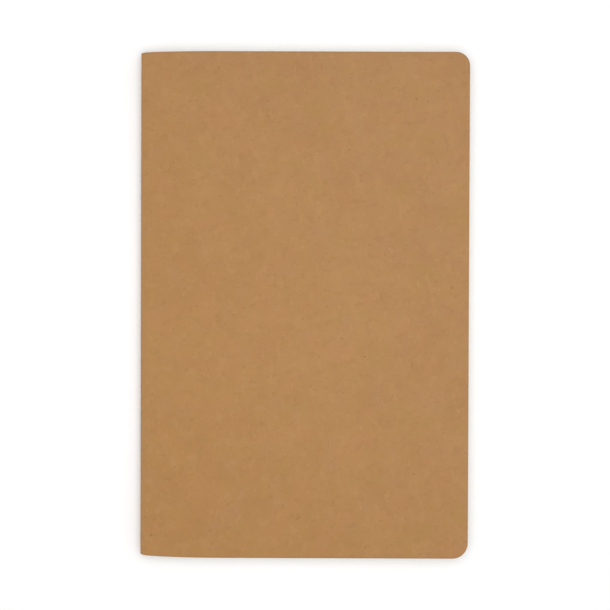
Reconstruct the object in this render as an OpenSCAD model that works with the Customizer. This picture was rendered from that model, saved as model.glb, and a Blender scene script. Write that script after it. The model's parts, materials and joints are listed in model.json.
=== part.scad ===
// Pocket notebook: nested sheets of paper, folded once and held in a kraft card cover by two wire staples.
// It lies closed on its back cover. X runs from the spine (-X) to the fore edge (+X),
// Y from the tail (-Y) to the head (+Y), and Z up from the surface it lies on. Millimetres.

/* [Notebook] */
// Height, tail to head along the spine
height = 140; // [90:1:220]
// Width, back of the spine to fore edge
width = 91; // [60:1:160]
// Radius of the fore-edge corner at the head
head_corner_r = 3.8; // [1:0.1:12]
// Radius of the fore-edge corner at the tail
tail_corner_r = 4.3; // [1:0.1:12]

/* [Cover] */
// Thickness of the kraft card
cover_t = 0.35; // [0.33:0.01:0.6]

/* [Pages] */
// Number of folded sheets, each of which makes two leaves
sheet_count = 16; // [6:1:18]
// Thickness of one leaf
paper_t = 0.08; // [0.06:0.01:0.12]
// Air between neighbouring leaves of the closed notebook
leaf_gap = 0.06; // [0.04:0.01:0.1]
// Air between neighbouring sheets at the spine, where the folds are pressed together
fold_gap = 0.015; // [0.015:0.005:0.04]
// Inner radius of the fold of the innermost sheet
fold_core_r = 0.25; // [0.24:0.01:0.4]
// Length over which each sheet spreads from its fold to a flat leaf
spread_l = 6; // [4:0.5:12]

/* [Staples] */
// Diameter of the staple wire
wire_d = 0.4; // [0.3:0.01:0.42]
// Length of the crown between its two legs
crown_w = 12; // [10:0.5:14]
// Length of each clinched end
clinch_l = 4.6; // [2:0.1:5.5]
// Distance of each staple's middle from the middle of the spine
staple_y = 35; // [20:1:38]
// How far the crown stands out of the spine
crown_proud = 0.12; // [0.1:0.01:0.2]

/* [Hidden] */
$fn = 64;
// Air around a staple's wire where it passes through card or paper
wire_clear = 0.02;
// How far a cutting shape runs past what it cuts
past = 1;

wire_r = wire_d / 2;

// A sheet's distance from the middle of the notebook, on its inner side: the radius of its fold, and
// the height of its flat leaves. Sheet 1 lies next to the cover, and counting on to 0 gives the cover.
function fold_r(sheet) = fold_core_r + (sheet_count - sheet) * (paper_t + fold_gap);
function leaf_h(sheet) = fold_core_r + (sheet_count - sheet) * (paper_t + leaf_gap);

spine_r = fold_r(0) + cover_t;
thickness = 2 * (leaf_h(0) + cover_t);
fore_x = width / 2;
// All the folds bend about this line, which runs along Y
fold_x = crown_proud + spine_r - width / 2;
fold_z = thickness / 2;
leaf_x = fold_x + spread_l;
// Distance of the crown's centre line from the fold line
crown_r = spine_r + crown_proud - wire_r;
// Centre-line radius of every bend in a staple's wire
bend_r = fold_core_r;

function two_digits(n) = n < 10 ? str("0", n) : str(n);
function sheet_node(sheet, side) = str("sheet_", two_digits(sheet), "_", side);

// What is cut away outside a rounded corner, with the centre of the arc at the origin
module corner_waste(r) {
    difference() {
        square(r + past);
        circle(r);
    }
}

// Outline of a flat leaf or cover panel, from its fold to its two round fore-edge corners
module panel_outline() {
    difference() {
        translate([leaf_x, -height / 2])
            square([fore_x - leaf_x, height]);
        translate([fore_x - head_corner_r, height / 2 - head_corner_r])
            corner_waste(head_corner_r);
        translate([fore_x - tail_corner_r, tail_corner_r - height / 2])
            mirror([0, 1])
                corner_waste(tail_corner_r);
    }
}

// Flat panel of thickness t with its lower face at bottom_z
module panel(bottom_z, t) {
    translate([0, 0, bottom_z])
        linear_extrude(t)
            panel_outline();
}

// Everything inside one face of a fold: round at the spine with radius r, then spreading to height h
// on both sides of the middle, and level from there for the given length
module fold_inside(r, h, level_l) {
    end_x = spread_l + level_l;
    circle(r);
    polygon([[0, -r], [spread_l, -h], [end_x, -h], [end_x, h], [spread_l, h], [0, r]]);
}

// Section of a fold: half a ring round the fold line, and the two arms that spread to the leaves
module fold_section(sheet, t) {
    difference() {
        fold_inside(fold_r(sheet) + t, leaf_h(sheet) + t, 0);
        fold_inside(fold_r(sheet), leaf_h(sheet), past);
    }
}

// Fold of a sheet, or of the cover as sheet 0, the whole height of the spine
module fold(sheet, t) {
    translate([fold_x, 0, fold_z])
        rotate([90, 0, 0])
            linear_extrude(height, center = true)
                fold_section(sheet, t);
}

// Quarter bend in a staple's wire, centred on the origin, from along Y at +X round to along X at +Y
module wire_bend(r) {
    rotate_extrude(angle = 90)
        translate([bend_r, 0])
            circle(r);
}

// One end of a staple, drawn about the fold line: half the crown, a leg and a clinched end
module staple_half(r) {
    leg_y = crown_w / 2;
    translate([-crown_r, 0, 0])
        rotate([-90, 0, 0])
            cylinder(h = leg_y - bend_r, r = r);
    translate([bend_r - crown_r, leg_y - bend_r, 0])
        rotate([0, 0, 90])
            wire_bend(r);
    translate([bend_r - crown_r, leg_y, 0])
        rotate([0, 90, 0])
            cylinder(h = crown_r - 2 * bend_r, r = r);
    translate([-bend_r, leg_y - bend_r, 0])
        wire_bend(r);
    translate([0, leg_y - bend_r - clinch_l, 0])
        rotate([-90, 0, 0])
            cylinder(h = clinch_l, r = r);
}

// Staple whose wire has radius r, with its middle at y
module staple_wire(y, r) {
    translate([fold_x, y, fold_z]) {
        staple_half(r);
        mirror([0, 1, 0])
            staple_half(r);
    }
}

// Holes that the four staple legs make through a sheet's fold
module leg_holes() {
    for (y = [staple_y, -staple_y], side = [-1, 1])
        translate([fold_x - spine_r, y + side * crown_w / 2, fold_z])
            rotate([0, 90, 0])
                cylinder(h = spine_r, r = wire_r + wire_clear);
}

// Front panel of the cover
module front_cover() {
    color("#B5895A")
        panel(thickness - cover_t, cover_t);
}

// Back panel of the cover, which the notebook lies on
module back_cover() {
    color("#B5895A")
        panel(0, cover_t);
}

// Folded spine of the cover, with the two staples pressed into it
module cover_spine() {
    color("#AD8153")
        difference() {
            fold(0, cover_t);
            for (y = [staple_y, -staple_y])
                staple_wire(y, wire_r + wire_clear);
        }
}

module staple_head() {
    color("#B9BCBF")
        staple_wire(staple_y, wire_r);
}

module staple_tail() {
    color("#B9BCBF")
        staple_wire(-staple_y, wire_r);
}

// Upper leaf of a sheet
module sheet_front(sheet) {
    color("#F1EBDC")
        panel(fold_z + leaf_h(sheet), paper_t);
}

// Lower leaf of a sheet
module sheet_back(sheet) {
    color("#F1EBDC")
        panel(fold_z - leaf_h(sheet) - paper_t, paper_t);
}

// Fold that joins a sheet's two leaves, pierced by the staples
module sheet_fold(sheet) {
    color("#E9E2D0")
        difference() {
            fold(sheet, paper_t);
            leg_holes();
        }
}

front_cover();
cover_spine();
back_cover();
staple_head();
staple_tail();
for (sheet = [1 : sheet_count]) {
    sheet_front(sheet);
    sheet_fold(sheet);
    sheet_back(sheet);
}
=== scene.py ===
"""Pocket notebook: a kraft card cover folded round nested sheets of paper and stapled through the fold.

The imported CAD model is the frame. Each sheet of paper is one continuous mesh that bends at its fold, and the
cover is three meshes that meet without a step: back panel, spine and front panel. Lengths are in metres.
"""

import json
import math
import random
from typing import NamedTuple

import bmesh
import bpy
from mathutils import Matrix, Vector


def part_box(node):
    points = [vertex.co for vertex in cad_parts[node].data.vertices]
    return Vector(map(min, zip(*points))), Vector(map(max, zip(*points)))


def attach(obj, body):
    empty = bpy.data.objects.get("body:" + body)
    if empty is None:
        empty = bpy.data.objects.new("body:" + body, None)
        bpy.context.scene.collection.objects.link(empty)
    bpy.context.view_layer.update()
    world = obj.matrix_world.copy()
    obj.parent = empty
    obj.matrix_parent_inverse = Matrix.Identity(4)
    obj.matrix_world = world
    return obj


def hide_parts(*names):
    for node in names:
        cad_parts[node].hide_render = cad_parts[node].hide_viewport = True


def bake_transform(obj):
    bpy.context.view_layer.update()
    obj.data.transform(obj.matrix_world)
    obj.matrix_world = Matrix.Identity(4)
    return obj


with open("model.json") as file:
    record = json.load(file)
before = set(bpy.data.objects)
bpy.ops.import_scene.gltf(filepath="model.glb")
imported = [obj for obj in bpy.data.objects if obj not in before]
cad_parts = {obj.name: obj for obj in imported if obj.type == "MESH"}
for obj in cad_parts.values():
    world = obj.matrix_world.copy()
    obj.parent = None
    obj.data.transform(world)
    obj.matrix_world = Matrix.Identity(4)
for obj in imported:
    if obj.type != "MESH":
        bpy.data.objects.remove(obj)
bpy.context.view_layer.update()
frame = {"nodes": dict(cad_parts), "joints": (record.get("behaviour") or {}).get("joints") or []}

MM = 0.001
QUARTER_TURN = math.radians(90)
HALF_TURN = math.radians(180)
random.seed(7)

# ---------------------------------------------------------------- sizes, from the frame

joints = {j["name"]: j for j in frame["joints"]}
fold_x, _, fold_z = joints["notebook_open"]["pos_m"]
cover_hinge_x = joints["front_cover_open"]["pos_m"][0]
hinge_s = cover_hinge_x - fold_x
cover_low, cover_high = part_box("front_cover")
fore_x, tail_y, head_y = cover_high.x, cover_low.y, cover_high.y
cover_t = cover_high.z - cover_low.z
thickness = cover_high.z
sheet_numbers = sorted(n.split("_")[1] for n in frame["nodes"] if n.endswith("_fold"))
staples = [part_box("staple_head"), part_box("staple_tail")]

# ---------------------------------------------------------------- sizes of the visible shape

HEAD_CORNER_R = 3.8 * MM
TAIL_CORNER_R = 4.3 * MM
CARD_BEVEL = 0.06 * MM          # softened cut edge of the card
SPREAD_L = 20 * MM              # the pressed spine swells to the full thickness over this length
HINGE_BEND_L = 3 * MM           # the front panel has finer columns over this length past its hinge line
HEAD_TAPER = 0.31 * MM          # the head and tail edges draw in this much at the fold line
TAIL_TAPER = 0.50 * MM
TAPER_L = 6 * MM

SAG = 0.12 * MM                 # the closed notebook is this hollow in the middle of its front
SAG_AT_ENDS = 0.4               # share of the hollow that is left at the head and tail
WAVE_H = 0.045 * MM             # height of the long swells in it, which have smaller ripples across them
SWELL_X, SWELL_Y = 17 * MM, 26 * MM
RIPPLE_X, RIPPLE_Y = 11 * MM, 19 * MM
RIPPLE_SHARE = 0.6
SWELL_START_X, SWELL_START_Y, RIPPLE_START = 0.6, 1.1, 2.0
EASE_L = 30 * MM                # the waves grow over this distance from the spine, the hollow from each edge

PAGE_INSET = 0.06 * MM          # the sheets end this far inside the cover
PAGE_T = 0.115 * MM             # thickness a leaf shows at its edge, so that the block looks pressed
INSET_SPREAD, T_SPREAD = 0.4, 0.1   # how much those two differ from sheet to sheet, as shares of them
PAGE_SHIFT = 0.007 * MM         # the leaves lie this unevenly in the block
CORE_GAP = 0.03 * MM            # from the middle of the notebook to the innermost leaf
DENT_DEPTH = 0.09 * MM          # how far the card is pressed in round a staple's crown
DENT_W = 0.32 * MM              # how far from the crown's middle the dent fades to a third

RULE_PITCH = 6 * MM
RULE_W = 0.14 * MM
RULE_HEAD_MARGIN = 13 * MM
RULE_TAIL_MARGIN = 6 * MM

# ---------------------------------------------------------------- how finely the meshes are divided

CORNER_STEPS = 10
NOSE_STEPS = 24
BEND_STEPS = 12
HINGE_STEP = 0.15 * MM          # the columns on both sides of the cover's hinge line are this near it
STAPLE_ROW_STEP = 0.3 * MM      # from one row of the spine to the next along a staple
STAPLE_ROW_MARGIN = 1.5 * MM    # how far those rows run past its ends
ROW_GAP = 0.001                 # rows closer than this share of the height are made one
NEAR = 1e-9                     # lengths closer than this are the same
SHARP_EDGE = math.radians(60)   # an edge that turns more than this is drawn sharp

# Distances from the fold line at which a leaf gets a column of vertices, up to its corners, in millimetres
LEAF_STEPS = [0, 0.6, 1.5, 3, 4.5, 7, 8, 9, 10.5, 12, 14, 16, 18, 20, *range(25, 81, 5)]
LEAF_STATIONS = sorted([s * MM for s in LEAF_STEPS] + [hinge_s - HINGE_STEP, hinge_s, hinge_s + HINGE_STEP])
# Shares of the height at which a sheet gets a row of vertices
SHEET_ROWS = [0, 0.004, *(i / 20 for i in range(1, 20)), 0.996, 1]


class Layer:
    """One folded thickness of card or paper. r is its middle surface's radius at the fold and h the height of
    its leaves, from the middle of the notebook; t is its thickness at the fold and leaf_t at the leaves."""

    def __init__(self, fold_node, leaf_node):
        leaf_low, leaf_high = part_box(leaf_node)
        fold_low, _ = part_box(fold_node)
        self.t = self.leaf_t = leaf_high.z - leaf_low.z
        self.h = leaf_high.z - self.t / 2 - fold_z
        self.r = fold_x - fold_low.x - self.t / 2

    def press(self, place):
        """Gives the leaves their pressed thickness and their place, counted from the middle of the block."""
        pitch = (thickness / 2 - cover_t - CORE_GAP) / len(sheet_numbers)
        self.leaf_t = PAGE_T * random.uniform(1 - T_SPREAD, 1 + T_SPREAD)
        self.h = CORE_GAP + place * pitch + PAGE_T / 2 + PAGE_SHIFT * random.uniform(-1, 1)


class Station(NamedTuple):
    """A straight column of a sheet's outline, from its tail edge to its head edge."""
    side: int           # 1 on the front leaf, -1 on the back leaf, 0 round the fold
    angle: float        # round the fold, from -90 degrees at the back to 90 at the front
    tail: tuple         # (distance from the fold line, y)
    head: tuple


def smooth(t):
    t = min(max(t, 0.0), 1.0)
    return t * t * (3 - 2 * t)


def smooth_slope(t):
    t = min(max(t, 0.0), 1.0)
    return 6 * t * (1 - t)


def leaf_point(layer, side, s, face):
    """(x, z) on a leaf at s from the fold line. side is 1 for front, -1 for back, and face goes from -1 on
    the inner face to 1 on the outer face."""
    spread = smooth(s / SPREAD_L)
    height = layer.r + (layer.h - layer.r) * spread
    slope = (layer.h - layer.r) * smooth_slope(s / SPREAD_L) / SPREAD_L
    offset = face * (layer.t + (layer.leaf_t - layer.t) * spread) / 2
    length = math.hypot(1, slope)
    return fold_x + s - offset * slope / length, fold_z + side * (height + offset / length)


def nose_point(layer, angle, face):
    """(x, z) on the half ring of a fold, at the given angle round it."""
    r = layer.r + face * layer.t / 2
    return fold_x - r * math.cos(angle), fold_z + r * math.sin(angle)


def settled(x, y, z):
    """A point of the closed notebook moved as the pressed panels lie: uneven and hollow, never proud."""
    wave = math.sin(x / SWELL_X + SWELL_START_X) * math.sin(y / SWELL_Y + SWELL_START_Y)
    wave += RIPPLE_SHARE * math.sin(x / RIPPLE_X - y / RIPPLE_Y + RIPPLE_START)
    from_spine = smooth((x - fold_x) / EASE_L)
    across = from_spine * smooth((fore_x - x) / EASE_L)
    along = smooth((head_y - abs(y)) / EASE_L)
    dip = WAVE_H * (1 + RIPPLE_SHARE - wave) * from_spine
    dip += SAG * across * (SAG_AT_ENDS + (1 - SAG_AT_ENDS) * along)
    return x, y, z - dip * z / thickness


# ---------------------------------------------------------------- unrolled outline

def ends(s, inset):
    """The y of the tail and head edges at s from the fold line, which is negative round the spine."""
    near_fold = math.exp(-s / TAPER_L)
    return tail_y + inset + TAIL_TAPER * near_fold, head_y - inset - HEAD_TAPER * near_fold


def leaf_station(side, s, inset):
    tail, head = ends(s, inset)
    return Station(side, side * QUARTER_TURN, (s, tail), (s, head))


def leaf_stations(side, inset, first=0.0, steps=LEAF_STATIONS):
    """Columns of one leaf from the fold out to the fore edge, where they follow the two rounded corners."""
    stations = [leaf_station(side, s, inset) for s in steps if s >= first - NEAR]
    reach = fore_x - fold_x
    for i in range(CORNER_STEPS + 1):
        a = QUARTER_TURN * i / CORNER_STEPS
        corners = []
        for r, y, way in ((TAIL_CORNER_R, tail_y, 1), (HEAD_CORNER_R, head_y, -1)):
            corners.append((reach - r + (r - inset) * math.sin(a), y + way * (r - (r - inset) * math.cos(a))))
        stations.append(Station(side, side * QUARTER_TURN, *corners))
    return stations


def nose_stations(layer, inset):
    """Columns round the fold, between the two leaves."""
    stations = []
    for i in range(1, NOSE_STEPS):
        angle = HALF_TURN * (i / NOSE_STEPS - 0.5)
        tail, head = ends(-layer.r * math.cos(angle), inset)
        stations.append(Station(0, angle, (0, tail), (0, head)))
    return stations


def sheet_stations(layer, inset):
    """Columns of a whole folded sheet, from the back fore edge round the fold to the front one."""
    return leaf_stations(-1, inset)[::-1] + nose_stations(layer, inset) + leaf_stations(1, inset)


def spine_stations(layer, inset):
    """Columns of the cover's spine, between the two panels."""
    arm = [s for s in LEAF_STATIONS if s <= hinge_s + NEAR]
    back = [leaf_station(-1, s, inset) for s in reversed(arm)]
    front = [leaf_station(1, s, inset) for s in arm]
    return back + nose_stations(layer, inset) + front


def station_point(layer, station, v, face):
    """(point, unrolled position) at share v of the way from tail to head along a station."""
    (s0, y0), (s1, y1) = station.tail, station.head
    s, y = s0 + (s1 - s0) * v, y0 + (y1 - y0) * v
    if station.side == 0:
        x, z = nose_point(layer, station.angle, face)
        along = layer.r * (station.angle - QUARTER_TURN)
    else:
        x, z = leaf_point(layer, station.side, s, face)
        along = s if station.side == 1 else -s - HALF_TURN * layer.r
    return (x, y, z), (along, y)


# ---------------------------------------------------------------- meshes

def shell(name, layer, stations_at, rows, bevel=0.0, dent=None):
    """A closed thin sheet over the stations: an outer face, an inner face and the cut edge between them.
    Returns the piece, and the station each vertex was made from."""
    mesh = bpy.data.meshes.new(name)
    bm = bmesh.new()
    uv = bm.loops.layers.uv.new("Flat")
    edge = bm.verts.layers.float.new("edge")
    flat, made_from = {}, []

    def add(station, v, face, at_edge):
        point, position = station_point(layer, station, v, face)
        point = settled(*point)
        vert = bm.verts.new(dent(point) if dent else point)
        vert[edge] = at_edge
        flat[vert] = position
        made_from.append(station)
        return vert

    inner_columns, full_columns = stations_at(bevel), stations_at(0.0)
    last_j, last_i = len(full_columns) - 1, len(rows) - 1
    loop = [(j, 0) for j in range(last_j)] + [(last_j, i) for i in range(last_i)]
    loop += [(j, last_i) for j in range(last_j, 0, -1)] + [(0, i) for i in range(last_i, 0, -1)]

    def face_grid(face):
        grid = {}
        for j, station in enumerate(inner_columns):
            for i, v in enumerate(rows):
                at_edge = j in (0, last_j) or i in (0, last_i)
                grid[j, i] = add(station, v, face, float(at_edge))
        for j in range(last_j):
            for i in range(last_i):
                bm.faces.new((grid[j, i], grid[j + 1, i], grid[j + 1, i + 1], grid[j, i + 1]))
        return grid

    outer, inner = face_grid(1.0), face_grid(-1.0)
    rings = [[outer[k] for k in loop]]
    if bevel:
        inward = 1 - 2 * bevel / layer.t
        for face in (inward, -inward):
            rings.append([add(full_columns[j], rows[i], face, 1.0) for j, i in loop])
    rings.append([inner[k] for k in loop])
    for a, b in zip(rings, rings[1:]):
        for i in range(len(loop)):
            k = (i + 1) % len(loop)
            bm.faces.new((a[i], a[k], b[k], b[i])).material_index = 1
    bmesh.ops.recalc_face_normals(bm, faces=bm.faces)
    for f in bm.faces:
        f.smooth = True
        for corner in f.loops:
            corner[uv].uv = flat[corner.vert]
    bm.to_mesh(mesh)
    bm.free()
    mesh.set_sharp_from_angle(angle=SHARP_EDGE)
    piece = bpy.data.objects.new(name, mesh)
    bpy.context.scene.collection.objects.link(piece)
    return piece, made_from


def blend_evenly(piece, shares):
    """Works out a place for each vertex from its share of the bend and holds it in the mesh while the piece's
    transform is baked, then puts the vertices back where they lay; the piece is bound to no body.
    """
    mesh = piece.data
    lying = [c for vert in mesh.vertices for c in vert.co]
    places = [0.5 - math.sin(math.asin(1 - 2 * share) / 3) for share in shares]
    mesh.vertices.foreach_set("co", [c for t in places for c in (0, 0, t)])
    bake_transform(piece)
    mesh.vertices.foreach_set("co", lying)
    mesh.update()


def fold_share(station):
    """How far round its fold a vertex lies: 0 on the back leaf and 1 on the front leaf."""
    return station.angle / HALF_TURN + 0.5


def paint(piece, *materials):
    for m in materials:
        piece.data.materials.append(m)


# ---------------------------------------------------------------- materials

class Nodes:
    """A material's node tree with short calls for what repeats."""

    def __init__(self, name, roughness, metallic=0.0, specular=0.5):
        self.material = bpy.data.materials.new(name)
        self.material.use_nodes = True
        self.tree = self.material.node_tree
        self.shader = self.tree.nodes["Principled BSDF"]
        self.shader.inputs["Roughness"].default_value = roughness
        self.shader.inputs["Metallic"].default_value = metallic
        self.shader.inputs["Specular IOR Level"].default_value = specular

    def add(self, kind, **settings):
        node = self.tree.nodes.new("ShaderNode" + kind)
        for key, value in settings.items():
            setattr(node, key, value)
        return node

    def link(self, value, socket):
        if isinstance(value, bpy.types.NodeSocket):
            self.tree.links.new(value, socket)
        else:
            socket.default_value = value

    def math(self, operation, a, b=0.0, c=0.0):
        node = self.add("Math", operation=operation)
        for value, socket in zip((a, b, c), node.inputs):
            self.link(value, socket)
        return node.outputs[0]

    def flat(self, scale=(1, 1, 1), turn=0.0):
        """The unrolled position on the sheet, turned and then scaled."""
        uv = self.add("UVMap", uv_map="Flat")
        mapping = self.add("Mapping", vector_type="TEXTURE")
        mapping.inputs["Scale"].default_value = [1 / k for k in scale]
        mapping.inputs["Rotation"].default_value = (0, 0, turn)
        self.link(uv.outputs[0], mapping.inputs["Vector"])
        return mapping.outputs[0]

    def parts(self, vector):
        """The X and Y of a position."""
        node = self.add("SeparateXYZ")
        self.link(vector, node.inputs[0])
        return node.outputs["X"], node.outputs["Y"]

    def noise(self, where, scale, detail=2.0, roughness=0.5, distortion=0.0):
        """Noise with this many features to the metre of the position it is given."""
        node = self.add("TexNoise")
        self.link(where, node.inputs["Vector"])
        for key, value in (("Scale", scale), ("Detail", detail), ("Roughness", roughness),
                           ("Distortion", distortion)):
            node.inputs[key].default_value = value
        return node.outputs["Fac"]

    def warped(self, where, scale, amount):
        """The position moved about by up to half the amount, to make shapes irregular."""
        push = self.add("TexNoise")
        self.link(where, push.inputs["Vector"])
        push.inputs["Scale"].default_value = scale
        node = self.add("VectorMath", operation="MULTIPLY_ADD")
        self.link(push.outputs["Color"], node.inputs[0])
        node.inputs[1].default_value = (amount, amount, 0)
        self.link(where, node.inputs[2])
        return node.outputs[0]

    def ramp(self, value, low, high):
        """0 where the value is low, 1 where it is high, and smooth between. low may be the larger one."""
        node = self.add("MapRange", interpolation_type="SMOOTHSTEP")
        self.link(value, node.inputs["Value"])
        node.inputs["From Min"].default_value = low
        node.inputs["From Max"].default_value = high
        return node.outputs["Result"]

    def mix(self, share, a, b):
        node = self.add("Mix", data_type="RGBA")
        self.link(share, node.inputs["Factor"])
        self.link(a, node.inputs["A"])
        self.link(b, node.inputs["B"])
        return node.outputs["Result"]

    def tint(self, tone, mask, share, target):
        """The tone with this share of the target where the mask is 1."""
        return self.mix(self.math("MULTIPLY", mask, share), tone, target)

    def bump(self, height, distance, strength=1.0, under=None):
        node = self.add("Bump")
        node.inputs["Strength"].default_value = strength
        node.inputs["Distance"].default_value = distance
        self.link(height, node.inputs["Height"])
        if under is not None:
            self.link(under, node.inputs["Normal"])
        return node.outputs["Normal"]


def colour(r, g, b):
    return r, g, b, 1.0


KRAFT_SPINE = colour(0.391, 0.1925, 0.0600)
KRAFT_FORE = colour(0.387, 0.2075, 0.0862)
KRAFT_LIGHT = colour(0.428, 0.230, 0.090)
KRAFT_DARK = colour(0.342, 0.175, 0.063)
KRAFT_ROSY = colour(0.402, 0.193, 0.0765)
KRAFT_OLIVE = colour(0.374, 0.207, 0.066)
KRAFT_GREY = colour(0.380, 0.206, 0.088)
# paler colour painted on the rounded spine as painted light
KRAFT_SPINE_PAINTED_LIGHT = colour(0.426, 0.2235, 0.0800)
KRAFT_FLECK = colour(0.130, 0.058, 0.022)
KRAFT_CORE = colour(0.37, 0.225, 0.115)
FIBRE_LIGHT = colour(0.470, 0.265, 0.116)
FIBRE_DARK = colour(0.288, 0.131, 0.042)
PAGE = colour(0.805, 0.755, 0.66)
PAGE_SHADE = colour(0.77, 0.715, 0.615)
RULE_BLUE = colour(0.52, 0.57, 0.62)
WIRE_DARK = colour(0.50, 0.51, 0.52)
WIRE_LIGHT = colour(0.68, 0.69, 0.70)
FLOOR = colour(0.955, 0.955, 0.955)

# The card's colour goes from KRAFT_SPINE, at the tail of the fold line, to KRAFT_FORE over this distance. A
# distance from the tail edge counts by this share.
GROUND_L = 165 * MM
GROUND_TAIL_SHARE = 0.6
GROUND_SHARE = 0.62             # how strongly the ground shows through the clouds
# Slow drifts of the card's colour: how many to the metre, how much closer they are across, direction in
# radians, detail, and the colours it drifts to. Each of those has the noise's value where it starts and where
# it is full, the colour, and how strongly it shows.
DRIFTS = (
    (28, 1.0, 0.0, 1.0, ((0.5, 0.75, KRAFT_LIGHT, 0.22), (0.5, 0.25, KRAFT_DARK, 0.22))),
    (85, 1.3, 0.4, 3.0, ((0.5, 0.68, KRAFT_ROSY, 0.38), (0.5, 0.32, KRAFT_OLIVE, 0.38))),
    (130, 1.0, 1.0, 3.0, ((0.52, 0.70, KRAFT_GREY, 0.45),)),
)
# The fine tooth of the card goes to these two colours in the same way
TOOTH = ((0.5, 0.75, KRAFT_LIGHT, 0.20), (0.5, 0.25, KRAFT_DARK, 0.20))
# Painted light: the rounded spine is painted paler, in patches like rubbing, against the shade where it turns
# away from the lamp.
# It is full as far as the first length below on each side of its middle and faded out by the second; it is as
# strong as the first share, and up to the second share more in patches.
SPINE_MIDDLE = QUARTER_TURN * Layer("cover_spine", "front_cover").r
SPINE_LIGHT_L, SPINE_LIGHT_END_L = 1.4 * MM, 2.8 * MM
SPINE_LIGHT_SHARE, SPINE_LIGHT_PATCHES = 0.65, 0.3
CORE_SHARE = 0.9                # how strongly the core shows at a cut edge
RIM_SHARE = 0.35                # how dark the rim of a face is
# Layers of fibres in the card: direction in radians, colour, how strongly it shows
FIBRES = (
    (0.10, FIBRE_DARK, 0.42),
    (-0.25, FIBRE_LIGHT, 0.44),
    (0.85, FIBRE_DARK, 0.42),
    (-0.95, FIBRE_LIGHT, 0.44),
    (1.45, FIBRE_DARK, 0.42),
    (1.75, FIBRE_LIGHT, 0.44),
)
FIBRE_SCALE = (330, 1350, 1)    # how many to the metre, along them and across them
FIBRE_LOW = 0.70                # the noise's value at a fibre's outline
FIBRE_EDGE = 0.10               # and how much higher it is where the fibre is at its strongest
# Clumps of fibres: how many to the metre, direction in radians, the noise's value at a clump's outline,
# colour, how strongly it shows
CLUMPS = (
    (640, -0.3, 0.635, FIBRE_DARK, 0.42),
    (540, 1.4, 0.63, FIBRE_LIGHT, 0.33),
    (310, 0.3, 0.55, KRAFT_DARK, 0.38),
    (260, 1.7, 0.55, KRAFT_LIGHT, 0.38),
)
CLUMP_SCALE = (1, 1.4, 1)       # they are this much closer across
CLUMP_EDGE = 0.13
# Bark flecks: cells to the metre, share of cells with a fleck, largest radius in cells, how strongly it shows
FLECKS = (
    (70, 0.25, 0.05, 0.6),
    (150, 0.3, 0.075, 0.5),
    (420, 0.22, 0.12, 0.40),
)
FLECK_SMALLEST = 0.3            # share of the largest radius
FLECK_CORE = 0.55               # share of its radius over which a fleck is fully dark
WIRE_GRAIN_SCALE = (9000, 700, 9000)


def drift(n, tone, noise, towards):
    """The tone drifting to other colours where the noise is high or low."""
    for start, full, target, share in towards:
        tone = n.tint(tone, n.ramp(noise, start, full), share, target)
    return tone


def kraft_ground(n, clouds):
    """The card's colour without its fibres: warmer by the spine and tail, clouded and drifting in hue."""
    x, y = n.parts(n.flat())
    from_tail = n.math("SUBTRACT", y, tail_y)
    away = n.math("MULTIPLY_ADD", from_tail, GROUND_TAIL_SHARE, n.math("ABSOLUTE", x))
    ground = n.mix(n.ramp(away, 0, GROUND_L), KRAFT_SPINE, KRAFT_FORE)
    tone = n.mix(n.ramp(clouds, 0.25, 0.75), KRAFT_DARK, KRAFT_LIGHT)
    tone = n.mix(GROUND_SHARE, tone, ground)
    for count, closer, turn, detail, towards in DRIFTS:
        tone = drift(n, tone, n.noise(n.flat((1, closer, 1), turn), count, detail), towards)
    return tone


def paint_spine_light(n, tone, patches):
    """Painted light: the card is painted paler in patches along the middle of its rounded spine, against the
    shade there.
    """
    x, _ = n.parts(n.flat())
    past_middle = n.math("ABSOLUTE", n.math("ADD", x, SPINE_MIDDLE))
    painted_light = n.math("SUBTRACT", 1.0, n.ramp(past_middle, SPINE_LIGHT_L, SPINE_LIGHT_END_L))
    patchy = n.math("MULTIPLY_ADD", n.ramp(patches, 0.3, 0.7), SPINE_LIGHT_PATCHES, SPINE_LIGHT_SHARE)
    return n.tint(tone, painted_light, patchy, KRAFT_SPINE_PAINTED_LIGHT)


def add_clumps(n, tone):
    for count, turn, low, target, share in CLUMPS:
        clump = n.ramp(n.noise(n.flat(CLUMP_SCALE, turn), count), low, low + CLUMP_EDGE)
        tone = n.tint(tone, clump, share, target)
    return tone


def add_fibres(n, tone):
    """Returns the tone with the fibres in it, and their height."""
    relief = 0.0
    for turn, target, share in FIBRES:
        strands = n.noise(n.flat(FIBRE_SCALE, turn), scale=1.0, detail=1.0, distortion=0.3)
        fibre = n.ramp(strands, FIBRE_LOW, FIBRE_LOW + FIBRE_EDGE)
        relief = n.math("ADD", relief, fibre)
        tone = n.tint(tone, fibre, share, target)
    return tone, relief


def fleck_mask(n, scale, share, radius, where):
    """Sparse irregular specks, one at most in each cell of a pattern with this many cells to the metre."""
    cells = n.add("TexVoronoi", feature="F1")
    n.link(where, cells.inputs["Vector"])
    cells.inputs["Scale"].default_value = scale
    pick = n.add("SeparateColor")
    n.link(cells.outputs["Color"], pick.inputs[0])
    smallest = radius * FLECK_SMALLEST
    reach = n.math("MULTIPLY_ADD", pick.outputs["Green"], radius * (1 - FLECK_SMALLEST), smallest)
    inside = n.math("DIVIDE", cells.outputs["Distance"], reach)
    spot = n.math("SUBTRACT", 1.0, n.ramp(inside, FLECK_CORE, 1.0))
    return n.math("MULTIPLY", spot, n.math("LESS_THAN", pick.outputs["Red"], share))


def add_flecks(n, tone):
    bent = n.warped(n.flat(scale=(1, 1.5, 1)), scale=1500, amount=0.45 * MM)
    for scale, share, radius, strength in FLECKS:
        tone = n.tint(tone, fleck_mask(n, scale, share, radius, bent), strength, KRAFT_FLECK)
    return tone


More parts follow.
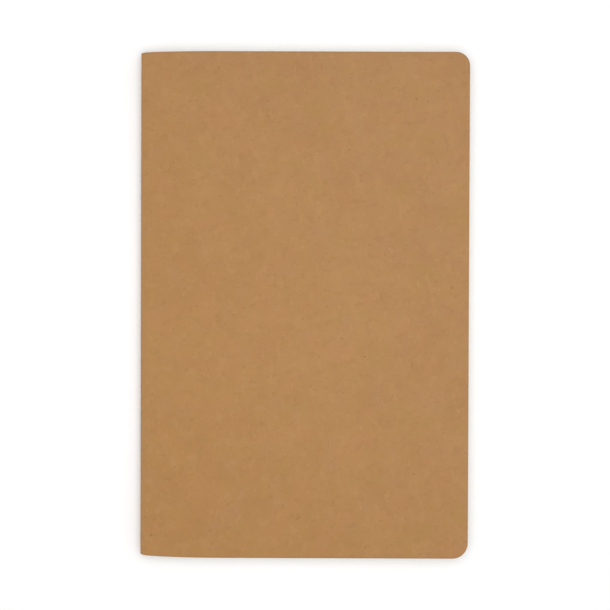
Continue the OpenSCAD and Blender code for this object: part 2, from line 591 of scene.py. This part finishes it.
def kraft_material(name, cut=False):
    """Unbleached kraft card: soft clouds, short fibres, sparse bark flecks and a fine matte tooth. Its paler
    core shows at a cut edge."""
    n = Nodes(name, roughness=0.82, specular=0.3)
    clouds = n.noise(n.flat(), scale=100, detail=4.0, roughness=0.7)
    patches = n.noise(n.flat(), scale=420, detail=3.0, roughness=0.6)
    grain = n.noise(n.flat(), scale=4200, detail=2.0, roughness=0.65)
    tone = kraft_ground(n, clouds)
    # painted light on the rounded spine
    tone = paint_spine_light(n, tone, patches)
    tone = add_clumps(n, tone)
    tone, relief = add_fibres(n, tone)
    tone = add_flecks(n, tone)
    tone = drift(n, tone, grain, TOOTH)
    rim = n.add("Attribute", attribute_name="edge")
    worn = n.math("MULTIPLY", rim.outputs["Fac"], n.ramp(patches, 0.3, 0.7))
    tone = n.tint(tone, worn, CORE_SHARE, KRAFT_CORE) if cut else n.tint(tone, worn, RIM_SHARE, KRAFT_DARK)
    n.link(tone, n.shader.inputs["Base Color"])
    n.link(n.math("MULTIPLY_ADD", n.ramp(patches, 0.3, 0.8), 0.08, 0.78), n.shader.inputs["Roughness"])
    normal = n.bump(grain, 0.02 * MM, strength=0.5)
    normal = n.bump(relief, 0.008 * MM, strength=0.6, under=normal)
    normal = n.bump(clouds, 0.05 * MM, strength=0.5, under=normal)
    n.link(normal, n.shader.inputs["Normal"])
    return n.material


def ruling(n, tone):
    """Pale lines across the page, from below the head margin to the tail margin."""
    _, y = n.parts(n.flat())
    down = n.math("SUBTRACT", head_y - RULE_HEAD_MARGIN, y)
    line = n.math("PINGPONG", down, RULE_PITCH / 2)
    on_line = n.math("SUBTRACT", 1.0, n.ramp(line, RULE_W / 2, RULE_W))
    below_head = n.math("GREATER_THAN", down, -RULE_W)
    above_tail = n.math("LESS_THAN", down, head_y - tail_y - RULE_HEAD_MARGIN - RULE_TAIL_MARGIN)
    inked = n.math("MULTIPLY", on_line, n.math("MULTIPLY", below_head, above_tail))
    return n.tint(tone, inked, 0.6, RULE_BLUE)


def page_material(name, cut=False):
    """Warm white writing paper, ruled except at its cut edges."""
    n = Nodes(name, roughness=0.88, specular=0.25)
    clouds = n.noise(n.flat(), scale=160, detail=3.0)
    grain = n.noise(n.flat(scale=(1, 1.8, 1)), scale=3000)
    tone = n.tint(PAGE, n.ramp(clouds, 0.3, 0.75), 0.45, PAGE_SHADE)
    tone = n.tint(tone, n.ramp(grain, 0.4, 0.8), 0.25, PAGE_SHADE)
    if not cut:
        tone = ruling(n, tone)
    n.link(tone, n.shader.inputs["Base Color"])
    n.link(n.bump(grain, 0.008 * MM, strength=0.6), n.shader.inputs["Normal"])
    return n.material


def wire_material():
    """Drawn, zinc-plated staple wire with fine scratches along it."""
    n = Nodes("staple_wire", roughness=0.34, metallic=1.0)
    place = n.add("TexCoord")
    stretched = n.add("Mapping")
    stretched.inputs["Scale"].default_value = WIRE_GRAIN_SCALE
    n.link(place.outputs["Object"], stretched.inputs["Vector"])
    drawn = n.noise(stretched.outputs[0], scale=1.0)
    n.link(n.mix(n.ramp(drawn, 0.3, 0.75), WIRE_DARK, WIRE_LIGHT), n.shader.inputs["Base Color"])
    n.link(n.math("MULTIPLY_ADD", drawn, 0.25, 0.24), n.shader.inputs["Roughness"])
    n.link(n.bump(drawn, 0.004 * MM, strength=0.5), n.shader.inputs["Normal"])
    return n.material


kraft = kraft_material("kraft_card")
kraft_cut = kraft_material("kraft_card_edge", cut=True)
page = page_material("page_paper")
page_cut = page_material("page_paper_edge", cut=True)
wire = wire_material()

# ---------------------------------------------------------------- the notebook

def staple_dent(point):
    """The card gives way round each staple's crown."""
    x, y, z = point
    if x >= fold_x:
        return point
    depth = 0.0
    for low, high in staples:
        past_end = max(low.y - y, y - high.y, 0.0)
        off = math.hypot(past_end, z - fold_z)
        depth = max(depth, DENT_DEPTH * math.exp(-((off / DENT_W) ** 2)))
    r = math.hypot(x - fold_x, z - fold_z)
    return x + (fold_x - x) / r * depth, y, z + (fold_z - z) / r * depth


def spine_rows():
    """Shares of the height with extra rows where the staples are."""
    rows = set(SHEET_ROWS)
    for low, high in staples:
        first = low.y - STAPLE_ROW_MARGIN
        steps = int((high.y - low.y + 2 * STAPLE_ROW_MARGIN) / STAPLE_ROW_STEP)
        for i in range(steps + 1):
            rows.add(round((first + i * STAPLE_ROW_STEP - tail_y) / (head_y - tail_y), 5))
    rows = sorted(rows)
    return [a for a, b in zip(rows, rows[1:]) if b - a > ROW_GAP] + [1]


def make_back_panel(layer):
    back, _ = shell("cover_back_panel", layer, lambda inset: leaf_stations(-1, inset, hinge_s),
                    SHEET_ROWS, CARD_BEVEL)
    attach(back, "back_cover")
    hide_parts("back_cover")
    return back


def make_spine(layer):
    """The spine round the fold, between the two panels, with each vertex's share of the fold worked out."""
    spine, form = shell("cover_spine_fold", layer, lambda inset: spine_stations(layer, inset),
                        spine_rows(), CARD_BEVEL, staple_dent)
    blend_evenly(spine, map(fold_share, form))
    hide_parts("cover_spine")
    return spine


def make_front_panel(layer):
    """The front panel, with finer columns past its hinge line."""
    bend = [hinge_s + HINGE_BEND_L * i / BEND_STEPS for i in range(BEND_STEPS + 1)]
    steps = sorted(bend + [hinge_s + HINGE_STEP] + [s for s in LEAF_STATIONS if s > bend[-1] + NEAR])
    front, _ = shell("cover_front_panel", layer, lambda inset: leaf_stations(1, inset, hinge_s, steps),
                     SHEET_ROWS, CARD_BEVEL)
    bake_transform(front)
    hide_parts("front_cover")
    return front


def make_cover():
    layer = Layer("cover_spine", "front_cover")
    for piece in (make_back_panel(layer), make_spine(layer), make_front_panel(layer)):
        paint(piece, kraft, kraft_cut)


def make_sheet(number):
    layer = Layer(f"sheet_{number}_fold", f"sheet_{number}_front")
    layer.press(len(sheet_numbers) - int(number))
    trim = PAGE_INSET * random.uniform(1 - INSET_SPREAD, 1 + INSET_SPREAD)
    sheet, form = shell(f"sheet_{number}", layer, lambda inset: sheet_stations(layer, inset + trim),
                        SHEET_ROWS)
    blend_evenly(sheet, map(fold_share, form))
    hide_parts(*(f"sheet_{number}_{part}" for part in ("front", "fold", "back")))
    paint(sheet, page, page_cut)


def finish_staples():
    """The staples are the CAD's own, with the wire's material."""
    for name in ("staple_head", "staple_tail"):
        for slot in frame["nodes"][name].material_slots:
            slot.material = wire


make_cover()
for number in sheet_numbers:
    make_sheet(number)
finish_staples()

# ---------------------------------------------------------------- floor, light and camera

CAMERA_DISTANCE = 0.40
FIELD_W = 168.4 * MM            # width of the view at the height of the front cover
SENSOR_W = 36 * MM
TILT = math.radians(0.7)
ROLL = math.radians(0.2)
AIM = Vector((0.23 * MM, 0.085 * MM, thickness))
SKY = 0.78                      # strength of the even light from all round
LAMP_PLACE = Vector((0.006, 0.006, 0.24))
LAMP_SIZE = 0.2
LAMP_POWER = 0.2562             # watts, little because the lamp is near
FLOOR_HALF = 20                 # half the length of the floor's sides
FLOOR_Z = -0.05 * MM            # just under the notebook, so that no two faces lie in one plane


def make_floor():
    mesh = bpy.data.meshes.new("floor")
    corners = [(-FLOOR_HALF, -FLOOR_HALF, 0), (FLOOR_HALF, -FLOOR_HALF, 0),
               (FLOOR_HALF, FLOOR_HALF, 0), (-FLOOR_HALF, FLOOR_HALF, 0)]
    mesh.from_pydata(corners, [], [(0, 1, 2, 3)])
    floor = bpy.data.objects.new("floor", mesh)
    floor.location.z = FLOOR_Z
    bpy.context.scene.collection.objects.link(floor)
    n = Nodes("floor", roughness=0.9, specular=0.0)
    n.shader.inputs["Base Color"].default_value = FLOOR
    mesh.materials.append(n.material)


def make_light():
    """An even white sky, and a round soft lamp above the notebook that faces it."""
    world = bpy.data.worlds.new("studio")
    bpy.context.scene.world = world
    world.use_nodes = True
    background = world.node_tree.nodes["Background"]
    background.inputs["Color"].default_value = colour(1, 1, 1)
    background.inputs["Strength"].default_value = SKY
    data = bpy.data.lights.new("overhead", "AREA")
    data.shape = "DISK"
    data.size = LAMP_SIZE
    data.energy = LAMP_POWER
    lamp = bpy.data.objects.new("overhead", data)
    lamp.location = LAMP_PLACE
    lamp.rotation_euler = (AIM - LAMP_PLACE).to_track_quat("-Z", "Y").to_euler()
    bpy.context.scene.collection.objects.link(lamp)


def make_camera():
    data = bpy.data.cameras.new("camera")
    data.sensor_width = SENSOR_W / MM
    data.lens = SENSOR_W / MM * CAMERA_DISTANCE / FIELD_W
    data.clip_start = 0.01
    camera = bpy.data.objects.new("camera", data)
    back = Vector((0, math.sin(TILT), math.cos(TILT)))
    right = Vector((1, 0, 0))
    up = back.cross(right)
    turn = Matrix((right, up, back)).transposed() @ Matrix.Rotation(ROLL, 3, "Z")
    camera.matrix_world = Matrix.Translation(AIM + back * CAMERA_DISTANCE) @ turn.to_4x4()
    bpy.context.scene.collection.objects.link(camera)
    bpy.context.scene.camera = camera


make_floor()
make_light()
make_camera()
bpy.context.scene.view_settings.view_transform = "Standard"
